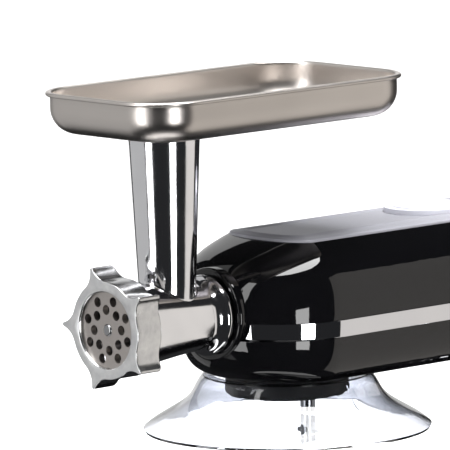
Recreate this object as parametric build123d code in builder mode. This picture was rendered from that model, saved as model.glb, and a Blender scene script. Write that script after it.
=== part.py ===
from build123d import *
from math import acos, atan2, degrees, pi
import os

# Electric meat grinder: a grinding attachment on the front hub of a tilting motor head.
# Millimetres, +Z up. The origin is on the table, under the middle of the whole machine,
# and the grinder's outlet faces -Y.

# ---- driving dimensions ----
AXIS_Z = 250.0            # height of the barrel's axis, and of the whole drive line
LENGTH = 430.0            # tray's front edge to the back of the machine
TRAY_WIDTH = 132.0
TRAY_LENGTH = 235.0
TRAY_DEPTH = 28.0
TRAY_CORNER = 34.6
TRAY_RIM = 152.6          # rim above the barrel's axis
NUT_BACKSET = 8.2         # ring nut's face, behind the tray's front edge
NUT_Y = -LENGTH / 2 + NUT_BACKSET
NECK_D = 55.1             # neck's axis, behind the ring nut's face
OUTLET_RADIUS = 25.0
PLATE_RADIUS = 27.0       # a size 5 plate, 54 mm across
SEAT_RADIUS = 27.1
BORE_RADIUS = 21.0
THREAD_RADIUS = 29.6
NUT_RADIUS = 32.3
NUT_LENGTH = 21.0
LUG_TIP = 42.0
SPIGOT_RADIUS = 19.2
HEAD_HALF_WIDTH = 65.0
HEAD_FRONT_D = 89.0
NOSE_DEPTH = 61.0         # length of the nose's half ellipse
TAIL_DEPTH = 50.0
HEAD_WALL = 3.0
BAND_TOP = -4.0           # the chrome band's edges, from the axis
BAND_BOTTOM = -15.7
BAND_PROUD = 0.5
SPINDLE_D = 160.0         # the bowl's axis
HINGE_D = 375.0
HINGE_Z = 172.0
HINGE_RADIUS = 31.0       # rounded top of the column
SHAFT_PITCH = 25.9        # between the motor's axis and the counter shaft
RUNNING = 0.05            # radial clearance of a turning fit
REAR_D = LENGTH - NUT_BACKSET

os.makedirs("parts", exist_ok=True)


# ---- helpers: d is the distance behind the ring nut's face, heights are from the barrel's axis ----
def across(d):
    """A plane square to the barrel's axis, facing the front, with its origin on the axis."""
    return Plane(origin=(0, NUT_Y + d, AXIS_Z), x_dir=(1, 0, 0), z_dir=(0, -1, 0))


def level(height):
    """A level plane, with its origin above or below the ring nut's face."""
    return Plane.XY.offset(AXIS_Z + height).move(Location((0, NUT_Y, 0)))


def table_plane(z, d=0.0):
    """A level plane measured up from the table."""
    return Plane(origin=(0, NUT_Y + d, z), x_dir=(1, 0, 0), z_dir=(0, 0, 1))


def lying(d, x=0.0, height=0.0):
    """A place whose local Z runs forward along the barrel's axis."""
    return Location((x, NUT_Y + d, AXIS_Z + height), (90, 0, 0))


def lying_rod(front, back, radius, x=0.0, height=0.0, mode=Mode.ADD):
    """A round bar along the barrel's axis, inside the part being built."""
    with Locations(lying((front + back) / 2, x, height)):
        Cylinder(radius, back - front, mode=mode)


def upright_rod(bottom, top, radius, d, x=0.0, mode=Mode.ADD):
    """A round bar standing up, inside the part being built."""
    with Locations((x, NUT_Y + d, AXIS_Z + (bottom + top) / 2)):
        Cylinder(radius, top - bottom, mode=mode)


def cross_rod(left, right, radius, d, z, mode=Mode.ADD):
    """A round bar along X, inside the part being built, at a height above the table."""
    with Locations(Location(((left + right) / 2, NUT_Y + d, z), (0, 90, 0))):
        Cylinder(radius, right - left, mode=mode)


def block(x, front, back, bottom, top, mode=Mode.ADD):
    """A box from x[0] to x[1], inside the part being built, heights from the axis."""
    with Locations(((x[0] + x[1]) / 2, NUT_Y + (front + back) / 2, AXIS_Z + (bottom + top) / 2)):
        Box(x[1] - x[0], back - front, top - bottom, mode=mode)


def turned(points):
    """A turned piece: its half profile is a list of (distance behind the nut's face, radius)."""
    with BuildPart() as piece:
        with BuildSketch(Plane(origin=(0, NUT_Y, AXIS_Z), x_dir=(0, 1, 0), z_dir=(1, 0, 0))):
            with BuildLine():
                Polyline(*points, close=True)
            make_face()
        revolve(axis=Axis((0, NUT_Y, AXIS_Z), (0, 1, 0)))
    return piece.part


def gear_outline(teeth, module, phase=0.0, addendum=0.9):
    """A spur gear's flat outline, with one tooth at the angle phase, in degrees."""
    root = module * (teeth / 2 - 1.25)
    pitch = module * teeth / 2
    tip = module * (teeth / 2 + addendum)
    half = 0.8 * pi / teeth / 2
    with BuildSketch() as tooth:
        with BuildLine():
            Polyline((root * 0.9, -1.5 * half * root), (pitch, -half * pitch), (tip, -0.5 * half * tip),
                     (tip, 0.5 * half * tip), (pitch, half * pitch), (root * 0.9, 1.5 * half * root),
                     close=True)
        make_face()
    with BuildSketch() as outline:
        Circle(root)
        with PolarLocations(0, teeth, start_angle=phase):
            add(tooth.sketch)
    return outline.sketch


def spur(teeth, module, front, back, bore, x=0.0, phase=0.0):
    """A spur gear whose shaft lies along the barrel's axis."""
    with BuildPart() as gear:
        back_plane = across(back).move(Location((x, 0, 0)))
        extrude(back_plane * gear_outline(teeth, module, phase), amount=back - front)
        lying_rod(front - 1, back + 1, bore, x, mode=Mode.SUBTRACT)
    return gear.part


def bevel(teeth, module, mate_teeth, face, bore, phase=0.0, addendum=0.9):
    """A straight bevel gear with its cone's tip at the origin and its back facing -Z."""
    radius = module * teeth / 2
    depth = module * mate_teeth / 2
    inner = 1 - face / (radius ** 2 + depth ** 2) ** 0.5
    with BuildPart() as gear:
        with BuildSketch(Plane.XY.offset(-depth)):
            add(gear_outline(teeth, module, phase, addendum))
        with BuildSketch(Plane.XY.offset(-depth * inner)):
            add(scale(gear_outline(teeth, module, phase, addendum), by=inner))
        loft()
        with BuildSketch(Plane.XY.offset(-depth)):
            Circle(radius * 0.72)
        extrude(amount=-3)
        with Locations((0, 0, -depth)):
            Cylinder(bore, 4 * depth, mode=Mode.SUBTRACT)
    return gear.part


def save(piece, name):
    """Names a finished piece and writes its STEP file."""
    piece.label = name
    export_step(piece, "parts/" + name + ".step")


# ---- grinder attachment ----
NECK_TOP = 124.2
NECK_TOP_RADIUS = 23.7
NECK_ROOT_RADIUS = 17.9
CASTING_FILLET = 2.0
TRAY_Y = NUT_Y - NUT_BACKSET + TRAY_LENGTH / 2
TRAY_FLOOR = TRAY_RIM - TRAY_DEPTH
TRAY_WALL = 1.2
TRAY_LIP = 3.0
TRAY_BEND = 17.0

with BuildPart() as food_tray:
    tray_base = Plane(origin=(0, TRAY_Y, AXIS_Z + TRAY_FLOOR), z_dir=(0, 0, 1))
    with BuildSketch(tray_base):
        RectangleRounded(TRAY_WIDTH - 2 * TRAY_LIP, TRAY_LENGTH - 2 * TRAY_LIP, TRAY_CORNER - TRAY_LIP)
    extrude(amount=TRAY_DEPTH)
    fillet(food_tray.edges().group_by(Axis.Z)[0], TRAY_BEND)
    offset(amount=-TRAY_WALL, openings=food_tray.faces().sort_by(Axis.Z)[-1])
    with BuildSketch(tray_base.offset(TRAY_DEPTH - TRAY_WALL)):
        RectangleRounded(TRAY_WIDTH, TRAY_LENGTH, TRAY_CORNER)
        inset = TRAY_LIP + TRAY_WALL
        RectangleRounded(TRAY_WIDTH - 2 * inset, TRAY_LENGTH - 2 * inset, TRAY_CORNER - inset,
                         mode=Mode.SUBTRACT)
    extrude(amount=TRAY_WALL)
    upright_rod(TRAY_FLOOR - 15, TRAY_FLOOR + 0.6, 19.9, NECK_D)
    upright_rod(TRAY_FLOOR - 16, TRAY_FLOOR + 5, 18.9, NECK_D, mode=Mode.SUBTRACT)
save(food_tray.part, "food_tray")

with BuildPart() as barrel_blank:
    with BuildSketch(Plane(origin=(0, NUT_Y, AXIS_Z), x_dir=(0, 1, 0), z_dir=(1, 0, 0))):
        with BuildLine():
            Polyline((4, 0), (4, THREAD_RADIUS - 1), (5, THREAD_RADIUS), (22, THREAD_RADIUS), (24, 27.6))
            Spline((24, 27.6), (46, 25), (63, 23.3), (76, 22.3))
            ThreePointArc((76, 22.3), (80.8, 22.9), (84, 25.4))
            ThreePointArc((84, 25.4), (86.4, 26.8), (89.4, 26.2))
            Polyline((89.4, 26.2), (90.2, 25), (90.2, SPIGOT_RADIUS), (113, SPIGOT_RADIUS), (113, 0), (4, 0))
        make_face()
    revolve(axis=Axis((0, NUT_Y, AXIS_Z), (0, 1, 0)))
with BuildPart() as grinder_housing:
    add(barrel_blank.part)
    with BuildSketch(level(0)):
        with Locations((0, NECK_D)):
            Circle(NECK_ROOT_RADIUS)
    with BuildSketch(level(NECK_TOP)):
        with Locations((0, NECK_D)):
            Circle(NECK_TOP_RADIUS)
    loft()
    neck_joint = grinder_housing.edges(Select.NEW).filter_by_position(Axis.Z, AXIS_Z + 10, AXIS_Z + 40)
    fillet(neck_joint, CASTING_FILLET)
    with BuildSketch(level(0)):
        with Locations((0, NECK_D)):
            Circle(NECK_ROOT_RADIUS - 1.8)
    with BuildSketch(level(NECK_TOP + 1)):
        with Locations((0, NECK_D)):
            Circle(NECK_TOP_RADIUS - 2.6)
    loft(mode=Mode.SUBTRACT)
    lying_rod(3, 15, SEAT_RADIUS, mode=Mode.SUBTRACT)
    lying_rod(14, 81, BORE_RADIUS, mode=Mode.SUBTRACT)
    lying_rod(80, 92, 8.0 + RUNNING, mode=Mode.SUBTRACT)
    lying_rod(91, 114, 15.0, mode=Mode.SUBTRACT)
    with Locations(lying(109)):                       # bayonet lugs of the spigot
        for side in (-1, 1):
            with Locations((side * (SPIGOT_RADIUS + 0.4), 0, 0)):
                Box(3.2, 5, 5)
    with Locations(lying(5.5)):                       # slot of the plate's locating pin
        with Locations((0, -SEAT_RADIUS + 0.2, 0)):
            Box(2.4, 2.4, 3.2, mode=Mode.SUBTRACT)
save(grinder_housing.part, "grinder_housing")

with BuildPart() as plate_locating_pin:
    with Locations(lying(5.5)):
        with Locations((0, -SEAT_RADIUS + 0.3, 0)):
            Box(2.3, 2.0, 3.1)
save(plate_locating_pin.part, "plate_locating_pin")

nut_blank = turned([
    (1, OUTLET_RADIUS), (0, OUTLET_RADIUS + 1), (0, NUT_RADIUS - 0.5), (0.5, NUT_RADIUS),
    (NUT_LENGTH - 1, NUT_RADIUS), (NUT_LENGTH, NUT_RADIUS - 1), (NUT_LENGTH, THREAD_RADIUS + 0.3),
    (2.5, THREAD_RADIUS + 0.3), (2.5, OUTLET_RADIUS)])
LUG_COUNT = 5
LUG_ANGLE = 107.5
LUG_LENGTH = 20.0
with BuildSketch() as nut_lug:
    with BuildLine():
        foot = NUT_RADIUS - 2.0
        ThreePointArc((foot, -10.5), (35.4, -3.9), (LUG_TIP - 0.7, -1.5))
        ThreePointArc((LUG_TIP - 0.7, -1.5), (LUG_TIP, 0), (LUG_TIP - 0.7, 1.5))
        ThreePointArc((LUG_TIP - 0.7, 1.5), (35.4, 3.9), (foot, 10.5))
        Line((foot, 10.5), (foot, -10.5))
    make_face()
with BuildPart() as ring_nut:
    add(nut_blank)
    with BuildSketch(across(LUG_LENGTH)):
        with PolarLocations(0, LUG_COUNT, start_angle=LUG_ANGLE):
            add(nut_lug.sketch)
        Circle(THREAD_RADIUS + 1, mode=Mode.SUBTRACT)
    extrude(amount=LUG_LENGTH - 0.4)
save(ring_nut.part, "ring_nut")

HOLE_RADIUS = 3.25
PLATE_FRONT = 2.6
PLATE_BACK = 7.1
with BuildPart() as hole_plate:
    lying_rod(PLATE_FRONT, PLATE_BACK, PLATE_RADIUS)
    with BuildSketch(across(PLATE_BACK + 1)):
        with PolarLocations(13.3, 8, start_angle=95):
            Circle(HOLE_RADIUS)
        with PolarLocations(19.9, 8, start_angle=73):
            Circle(HOLE_RADIUS)
        Circle(4.1)
        with Locations((0, -PLATE_RADIUS)):
            Rectangle(3, 4.6)
    extrude(amount=PLATE_BACK - PLATE_FRONT + 2, mode=Mode.SUBTRACT)
save(hole_plate.part, "hole_plate")

KNIFE_BACK = 12.6
with BuildSketch() as knife_blade:
    with BuildLine():
        Polyline((4, -5), (12, -4.2), (22.5, -6.5), (23.8, -3), (24, 2.2), (12, 3.4), (4, 5), close=True)
    make_face()
with BuildPart() as cutting_knife:
    lying_rod(7.4, 14.2, 8.5)
    with BuildSketch(across(KNIFE_BACK)):
        with PolarLocations(0, 4, start_angle=20):
            add(knife_blade.sketch)
    extrude(amount=KNIFE_BACK - 7.4)
    with Locations(lying(11)):
        Box(8.2, 8.2, 12, mode=Mode.SUBTRACT)
save(cutting_knife.part, "cutting_knife")

FLIGHT_RADIUS = 20.6
FLIGHT_PITCH = 20.0
CORE_RADIUS = 8.6
FLIGHT_FRONT = 18.0
FLIGHT_BACK = 75.5
with BuildPart() as auger_flight:                 # stands on the origin, and is laid down below
    with BuildLine() as flight_path:
        Helix(FLIGHT_PITCH, FLIGHT_BACK - FLIGHT_FRONT, CORE_RADIUS - 1)
    reach = FLIGHT_RADIUS - CORE_RADIUS + 1
    with BuildSketch(Plane(origin=flight_path.line @ 0, x_dir=(1, 0, 0), z_dir=flight_path.line % 0)):
        with BuildLine():
            Polyline((0, -2.8), (reach, -1.0), (reach, 1.0), (0, 2.8), close=True)
        make_face()
    sweep(path=flight_path.line, is_frenet=True)
with BuildPart() as auger:
    lying_rod(14.6, 78.6, CORE_RADIUS)
    add(lying(FLIGHT_BACK) * auger_flight.part)
save(auger.part, "auger")

with BuildPart() as auger_front_stud:
    with Locations(lying(11)):
        Box(7.9, 7.9, 7.2)
    lying_rod(1.6, 8, 3.9)
    fillet(auger_front_stud.edges().filter_by(GeomType.CIRCLE).sort_by(Axis.Y)[0], 1.6)
save(auger_front_stud.part, "auger_front_stud")

with BuildPart() as auger_drive_tang:
    lying_rod(80.0, 98, 8.0)
    lying_rod(78.6, 80.0, 6.0)
    with Locations(lying(103.8)):
        Box(9.6, 9.6, 11.6)
save(auger_drive_tang.part, "auger_drive_tang")

with BuildPart() as thrust_washer:
    lying_rod(78.7, 79.9, 19)
    lying_rod(78, 81, 8.1, mode=Mode.SUBTRACT)
save(thrust_washer.part, "thrust_washer")


# ---- motor head: shells, band and covers ----
SHELL_INSET = 25.0        # from the widest outline to the top cover's edge
NOSE_RUN = 1.84           # how much faster the nose draws in than the sides, below the cover
COVER_RUN = 0.45          # the same over the cover
TAIL_RUN = 1.2
UPPER_FORM = ((BAND_TOP, 0), (12, 0.8), (22, 3), (30, 6.8), (36, 12), (41, 18.5), (45, 25))
LOWER_FORM = ((BAND_BOTTOM, 0), (-26, 0.7), (-34, 2.6), (-40, 5.5), (-44, 9.2), (-46, 13.5))


def head_outline(inset, plane):
    """The head's plan, drawn in from its widest outline by inset."""
    half = HEAD_HALF_WIDTH - inset
    below = min(inset, SHELL_INSET)
    above = inset - below
    nose = NOSE_DEPTH - NOSE_RUN * below - COVER_RUN * above
    tail = TAIL_DEPTH - TAIL_RUN * below - COVER_RUN * above
    nose_d = HEAD_FRONT_D + NOSE_DEPTH
    tail_d = REAR_D - BAND_PROUD - 0.1 - TAIL_DEPTH
    with BuildSketch(plane) as outline:
        with BuildLine():
            EllipticalCenterArc((0, nose_d), half, nose, start_angle=180, arc_size=180)
            Line((half, nose_d), (half, tail_d))
            EllipticalCenterArc((0, tail_d), half, tail, start_angle=0, arc_size=180)
            Line((-half, tail_d), (-half, nose_d))
        make_face()
    return outline.sketch


def head_form(form, inset=0.0, lift=0.0):
    """A closed body through the head's outlines at each (height, inset) of form."""
    with BuildPart() as body:
        loft([head_outline(step + inset, level(height + lift)) for height, step in form])
    return body.part


upper_outer = head_form(UPPER_FORM)
upper_inner = head_form(UPPER_FORM, HEAD_WALL, -HEAD_WALL)
HUB_RADIUS = 22.6
COLLAR_RADIUS = 31.0
COLLAR_BACK = 98.0
OUTLET_D = 290.0
with BuildPart() as head_upper_shell:
    add(upper_outer)
    add(upper_inner, mode=Mode.SUBTRACT)
    lying_rod(80, 140, HUB_RADIUS + 0.2, mode=Mode.SUBTRACT)
    lying_rod(80, COLLAR_BACK + 0.1, COLLAR_RADIUS + 0.1, mode=Mode.SUBTRACT)
    upright_rod(30, 60, 24, OUTLET_D, mode=Mode.SUBTRACT)
    block((-70, -50), 150, 162, 6, 18, mode=Mode.SUBTRACT)
save(head_upper_shell.part, "head_upper_shell")

lower_outer = head_form(LOWER_FORM)
lower_inner = head_form(LOWER_FORM, HEAD_WALL, HEAD_WALL)
EAR_INNER = 33.6
EAR_OUTER = 41.0
EAR_RADIUS = 21.0
GUARD_OPENING = 38.0
with BuildPart() as head_lower_shell:
    add(lower_outer)
    add(lower_inner, mode=Mode.SUBTRACT)
    lying_rod(80, 140, HUB_RADIUS + 0.2, mode=Mode.SUBTRACT)
    lying_rod(80, COLLAR_BACK + 0.1, COLLAR_RADIUS + 0.1, mode=Mode.SUBTRACT)
    upright_rod(-60, -30, GUARD_OPENING, SPINDLE_D, mode=Mode.SUBTRACT)
    for side in (-1, 1):
        ear_x = sorted((side * (EAR_INNER - 0.4), side * (EAR_OUTER + 0.4)))
        block(ear_x, HINGE_D - EAR_RADIUS - 1, HINGE_D + EAR_RADIUS + 1, -60, -38, mode=Mode.SUBTRACT)
save(head_lower_shell.part, "head_lower_shell")

with BuildPart() as chrome_band:
    extrude(head_outline(-BAND_PROUD, level(BAND_BOTTOM)), amount=BAND_TOP - BAND_BOTTOM)
    extrude(head_outline(HEAD_WALL, level(BAND_BOTTOM)), amount=BAND_TOP - BAND_BOTTOM, mode=Mode.SUBTRACT)
    lying_rod(80, 140, HUB_RADIUS + 0.2, mode=Mode.SUBTRACT)
    lying_rod(80, COLLAR_BACK + 0.1, COLLAR_RADIUS + 0.1, mode=Mode.SUBTRACT)
save(chrome_band.part, "chrome_band")

COVER_FORM = ((45, 25.2), (46.4, 25.8), (47.3, 28.4), (47.9, 34), (48.1, 42))
cover_outer = head_form(COVER_FORM)
with BuildPart() as top_cover:
    add(cover_outer)
    add(head_form(COVER_FORM, 2.2, -2.2), mode=Mode.SUBTRACT)
    upright_rod(30, 60, 28.4, OUTLET_D, mode=Mode.SUBTRACT)
save(top_cover.part, "top_cover")

with BuildPart() as blender_outlet_cap:
    upright_rod(45.4, 51.5, 28, OUTLET_D)
    upright_rod(51.5, 53, 22, OUTLET_D)
    upright_rod(40, 46, 23.4, OUTLET_D)
    upright_rod(39, 49.5, 21, OUTLET_D, mode=Mode.SUBTRACT)
    fillet(blender_outlet_cap.edges().group_by(Axis.Z)[-1], 1.2)
save(blender_outlet_cap.part, "blender_outlet_cap")

with BuildPart() as hub_collar:
    lying_rod(91, COLLAR_BACK, COLLAR_RADIUS)
    lying_rod(90, 100, HUB_RADIUS, mode=Mode.SUBTRACT)
    fillet(hub_collar.edges().group_by(Axis.Y)[0], 2.2)
save(hub_collar.part, "hub_collar")

with BuildPart() as hub_socket:
    lying_rod(91.5, 115, HUB_RADIUS)
    lying_rod(90, 116, SPIGOT_RADIUS + 0.06, mode=Mode.SUBTRACT)
    block((-21.4, 21.4), 90, 116, -2.8, 2.8, mode=Mode.SUBTRACT)
save(hub_socket.part, "hub_socket")

with BuildPart() as hub_lock_button:
    block((-67.5, -58), 151, 161, 7, 17)
    fillet(hub_lock_button.edges().group_by(Axis.X)[0], 1.2)
    cross_rod(-58, -52, 2.5, 156, AXIS_Z + 12)
save(hub_lock_button.part, "hub_lock_button")


# ---- gearbox ----
CASE_FLOOR = -30.0
CASE_TOP = 26.0
CASE_WALL = 4.0
CASE_SPLIT = 196.0
CASE_BACK = 244.0
with BuildPart() as gearbox_case:
    block((-23, 23), 116, 132, CASE_FLOOR, CASE_TOP)
    block((-34, 34), 131, CASE_SPLIT, CASE_FLOOR, CASE_TOP)
    block((-27, 53), 190, CASE_BACK, CASE_FLOOR, CASE_TOP)
    block((-20, 20), 129, 140, CASE_FLOOR + CASE_WALL, CASE_TOP + 1, mode=Mode.SUBTRACT)
    block((-30, 30), 135, 190, CASE_FLOOR + CASE_WALL, CASE_TOP + 1, mode=Mode.SUBTRACT)
    block((-23, 50), CASE_SPLIT, 240, CASE_FLOOR + CASE_WALL, CASE_TOP + 1, mode=Mode.SUBTRACT)
    lying_rod(117, 130, 15, mode=Mode.SUBTRACT)
    lying_rod(115, 130, 9, mode=Mode.SUBTRACT)
    lying_rod(189, 197, 5 + RUNNING, mode=Mode.SUBTRACT)
    lying_rod(193, 197, 3 + RUNNING, SHAFT_PITCH, mode=Mode.SUBTRACT)
    lying_rod(239, 243, 3 + RUNNING, SHAFT_PITCH, mode=Mode.SUBTRACT)
    lying_rod(239, 245, 3 + RUNNING, mode=Mode.SUBTRACT)
    upright_rod(CASE_FLOOR - 1, CASE_FLOOR + 5, 6 + RUNNING, SPINDLE_D, mode=Mode.SUBTRACT)
save(gearbox_case.part, "gearbox_case")

with BuildPart() as gearbox_lid:
    block((-23, 23), 116, 132, CASE_TOP, CASE_TOP + 3)
    block((-34, 34), 131, CASE_SPLIT, CASE_TOP, CASE_TOP + 3)
    block((-27, 53), 190, CASE_BACK, CASE_TOP, CASE_TOP + 3)
save(gearbox_lid.part, "gearbox_lid")

with BuildPart() as hub_bearing:
    lying_rod(118, 127, 15)
    lying_rod(117, 128, 7.5 + RUNNING, mode=Mode.SUBTRACT)
save(hub_bearing.part, "hub_bearing")

with BuildPart() as hub_output_shaft:
    lying_rod(99, 116, 12)
    lying_rod(116, 146, 7.5)
    with Locations(lying(105)):
        Box(10.4, 10.4, 20, mode=Mode.SUBTRACT)
save(hub_output_shaft.part, "hub_output_shaft")

BEVEL_MODULE = 1.5
BEVEL_TEETH = 18
CROWN_TEETH = 36
BEVEL_FACE = 9.0
apex = Location((0, NUT_Y + SPINDLE_D, AXIS_Z))
small_bevel = bevel(BEVEL_TEETH, BEVEL_MODULE, CROWN_TEETH, BEVEL_FACE, 7.5, 90, 0.5)
save(apex * Location((0, 0, 0), (-90, 0, 0)) * small_bevel, "hub_bevel_gear")
drive_bevel = bevel(BEVEL_TEETH, BEVEL_MODULE, CROWN_TEETH, BEVEL_FACE, 5.0, 90, 0.5)
save(apex * Location((0, 0, 0), (90, 0, 0)) * drive_bevel, "drive_bevel_gear")
crown = bevel(CROWN_TEETH, BEVEL_MODULE, BEVEL_TEETH, BEVEL_FACE, 6.0, 5)
save(apex * crown, "crown_wheel")

STAGE_ONE = (10, 64, 0.7)
STAGE_TWO = (12, 44, 0.925)
COUNTER_RADIUS = 3.0
save(spur(STAGE_TWO[1], STAGE_TWO[2], 201, 211, 5.0, phase=0), "main_gear")
counter_gear = spur(STAGE_ONE[1], STAGE_ONE[2], 219, 227, COUNTER_RADIUS, SHAFT_PITCH, 180 / STAGE_ONE[1])
save(counter_gear, "counter_gear")
save(spur(STAGE_ONE[0], STAGE_ONE[2], 218, 228, 2.0, phase=0), "motor_pinion")

with BuildPart() as main_shaft:
    lying_rod(178, 215, 5.0)
save(main_shaft.part, "main_shaft")

counter_pinion = spur(STAGE_TWO[0], STAGE_TWO[2], 200, 212, 1.0, SHAFT_PITCH, 15)
with BuildPart() as counter_shaft:                # the small pinion is cut on the shaft
    lying_rod(193.5, 242.5, COUNTER_RADIUS, SHAFT_PITCH)
    add(counter_pinion)
save(counter_shaft.part, "counter_shaft")


# ---- motor ----
STATOR_RADIUS = 36.0
with BuildPart() as motor_stator:
    lying_rod(256, 306, STATOR_RADIUS)
    lying_rod(255, 307, 20.6, mode=Mode.SUBTRACT)
    for side in (-1, 1):
        flat_x = sorted((side * 33, side * 40))
        block(flat_x, 250, 310, -40, 40, mode=Mode.SUBTRACT)
save(motor_stator.part, "motor_stator")

with BuildPart() as field_coils:
    for front, back in ((248, 256), (306, 313)):
        lying_rod(front, back, 31)
        lying_rod(front - 0.5, back + 0.5, 22, mode=Mode.SUBTRACT)
save(field_coils.part, "field_coils")

with BuildPart() as motor_shaft:
    lying_rod(218, 230, 2.0)
    lying_rod(230, 372, 3.0)
save(motor_shaft.part, "motor_shaft")

with BuildPart() as motor_armature:
    lying_rod(258, 304, 20.0)
    with BuildSketch(across(310)):
        with PolarLocations(18.6, 12):
            Rectangle(4, 1.6)
    extrude(amount=60, mode=Mode.SUBTRACT)
    lying_rod(250, 310, 3.0, mode=Mode.SUBTRACT)
save(motor_armature.part, "motor_armature")

with BuildPart() as commutator:
    lying_rod(318, 334, 11)
    with BuildSketch(across(335)):
        with PolarLocations(10.6, 16):
            Rectangle(1.6, 0.6)
    extrude(amount=18, mode=Mode.SUBTRACT)
    lying_rod(310, 340, 3.0, mode=Mode.SUBTRACT)
save(commutator.part, "commutator")

with BuildPart() as brush_holders:
    for side in (-1, 1):
        holder_x = sorted((side * 13, side * 34))
        block(holder_x, 320, 332, -5, 5)
        block(sorted((side * 12, side * 35)), 322.5, 329.5, -3, 3, mode=Mode.SUBTRACT)
save(brush_holders.part, "brush_holders")

with BuildPart() as carbon_brushes:
    for side in (-1, 1):
        block(sorted((side * 11.4, side * 26)), 322.6, 329.4, -2.9, 2.9)
save(carbon_brushes.part, "carbon_brushes")

with BuildPart() as cooling_fan:
    lying_rod(344, 345.5, 27)
    lying_rod(344, 354, 7)
    with BuildSketch(across(353)):
        with PolarLocations(17, 9):
            Rectangle(20, 1.4, rotation=28)
    extrude(amount=8)
    lying_rod(340, 360, 3.0, mode=Mode.SUBTRACT)
save(cooling_fan.part, "cooling_fan")

with BuildPart() as rear_bearing:
    lying_rod(361, 367, 9)
    lying_rod(360, 368, 3 + RUNNING, mode=Mode.SUBTRACT)
save(rear_bearing.part, "rear_bearing")

with BuildPart() as motor_end_bracket:
    block((-34, 34), 360, 368, -16, 16)
    lying_rod(359, 367, 9, mode=Mode.SUBTRACT)
    lying_rod(359, 369, 4, mode=Mode.SUBTRACT)
    for side in (-1, 1):
        block(sorted((side * 34, side * 38)), 262, 368, -10, 10)
save(motor_end_bracket.part, "motor_end_bracket")


# ---- planetary drive under the head ----
CARRIER_TOP = -48.0
CARRIER_BOTTOM = -61.0
ORBIT = 20.0
PLANET_MODULE = 0.92       # a little under the ring gear, so that the teeth run free
with BuildPart() as drive_spindle:
    upright_rod(-55, -9, 6, SPINDLE_D)
save(drive_spindle.part, "drive_spindle")

with BuildPart() as ring_gear:
    upright_rod(-45, CASE_FLOOR, 36.5, SPINDLE_D)
    upright_rod(-38, -31, 33, SPINDLE_D, mode=Mode.SUBTRACT)
    upright_rod(-32, -29, 9, SPINDLE_D, mode=Mode.SUBTRACT)
    ring_plane = level(-46).move(Location((0, SPINDLE_D, 0)))
    extrude(ring_plane * gear_outline(60, 1.0, phase=0), amount=9, mode=Mode.SUBTRACT)
    upright_rod(-46, -37, 29.2, SPINDLE_D, mode=Mode.SUBTRACT)
save(ring_gear.part, "ring_gear")

with BuildPart() as planet_carrier:
    upright_rod(CARRIER_BOTTOM, CARRIER_TOP, 41, SPINDLE_D)
    fillet(planet_carrier.edges().group_by(Axis.Z)[0], 4)
    upright_rod(CARRIER_TOP, -46.5, 9, SPINDLE_D)
    upright_rod(-56, -40, 6, SPINDLE_D, mode=Mode.SUBTRACT)
    upright_rod(-70, -40, 5 + RUNNING, SPINDLE_D, ORBIT, mode=Mode.SUBTRACT)
save(planet_carrier.part, "planet_carrier")

with BuildPart() as planet_gear:
    gear_plane = level(-44.5).move(Location((ORBIT, SPINDLE_D, 0)))
    extrude(gear_plane * gear_outline(20, PLANET_MODULE, phase=0), amount=5.5)
    upright_rod(-46, -38, 5, SPINDLE_D, ORBIT, mode=Mode.SUBTRACT)
save(planet_gear.part, "planet_gear")

with BuildPart() as beater_shaft:
    upright_rod(-92, -38.6, 5, SPINDLE_D, ORBIT)
    upright_rod(-46.9, -46.0, 8, SPINDLE_D, ORBIT)
    with Locations(Location((ORBIT, NUT_Y + SPINDLE_D, AXIS_Z - 84), (0, 90, 0))):
        Cylinder(1.5, 18)
save(beater_shaft.part, "beater_shaft")

GUARD_RIM = 96.0
with BuildPart() as splash_guard:
    with BuildSketch(Plane(origin=(0, NUT_Y + SPINDLE_D, AXIS_Z), x_dir=(1, 0, 0), z_dir=(0, -1, 0))):
        with BuildLine():
            Line((50, -46.4), (56, -46.4))
            Spline((56, -46.4), (59.5, -51), (64, -59), (76, -69), (GUARD_RIM, -82))
            Line((GUARD_RIM, -82), (GUARD_RIM - 1, -84))
            Spline((GUARD_RIM - 1, -84), (75, -71), (62.2, -60.4), (57.4, -51.6), (54.8, -48.4))
            Polyline((54.8, -48.4), (50, -48.4), (50, -46.4))
        make_face()
    revolve(axis=Axis((0, NUT_Y + SPINDLE_D, 0), (0, 0, 1)))
save(splash_guard.part, "splash_guard")


# ---- hinge, column and base ----
with BuildPart() as hinge_bracket:
    block((-EAR_OUTER, EAR_OUTER), HINGE_D - EAR_RADIUS, HINGE_D + EAR_RADIUS, -42.6, -38.6)
    for side in (-1, 1):
        ear_x = sorted((side * EAR_INNER, side * EAR_OUTER))
        block(ear_x, HINGE_D - EAR_RADIUS, HINGE_D + EAR_RADIUS, HINGE_Z - AXIS_Z, -38.6)
        cross_rod(ear_x[0], ear_x[1], EAR_RADIUS, HINGE_D, HINGE_Z)
    cross_rod(-60, 60, 6.06, HINGE_D, HINGE_Z, mode=Mode.SUBTRACT)
save(hinge_bracket.part, "hinge_bracket")

with BuildPart() as hinge_pin:
    cross_rod(-45, 45, 6, HINGE_D, HINGE_Z)
save(hinge_pin.part, "hinge_pin")

with BuildPart() as hinge_caps:
    for side in (-1, 1):
        cross_rod(*sorted((side * (EAR_OUTER + 0.5), side * 46)), 15, HINGE_D, HINGE_Z)
    fillet(hinge_caps.edges().group_by(Axis.X)[0] + hinge_caps.edges().group_by(Axis.X)[-1], 2)
    cross_rod(-45, 45, 6, HINGE_D, HINGE_Z, mode=Mode.SUBTRACT)
save(hinge_caps.part, "hinge_caps")

BASE_BOTTOM = 4.0
BASE_TOP = 36.0
BOWL_D = SPINDLE_D
COLUMN_TOP = 138.0


BASE_RADIUS = 100.0
BASE_BACK_D = 419.0
BASE_CORNER = 26.0
BASE_BACK_WIDTH = 132.0


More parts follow.
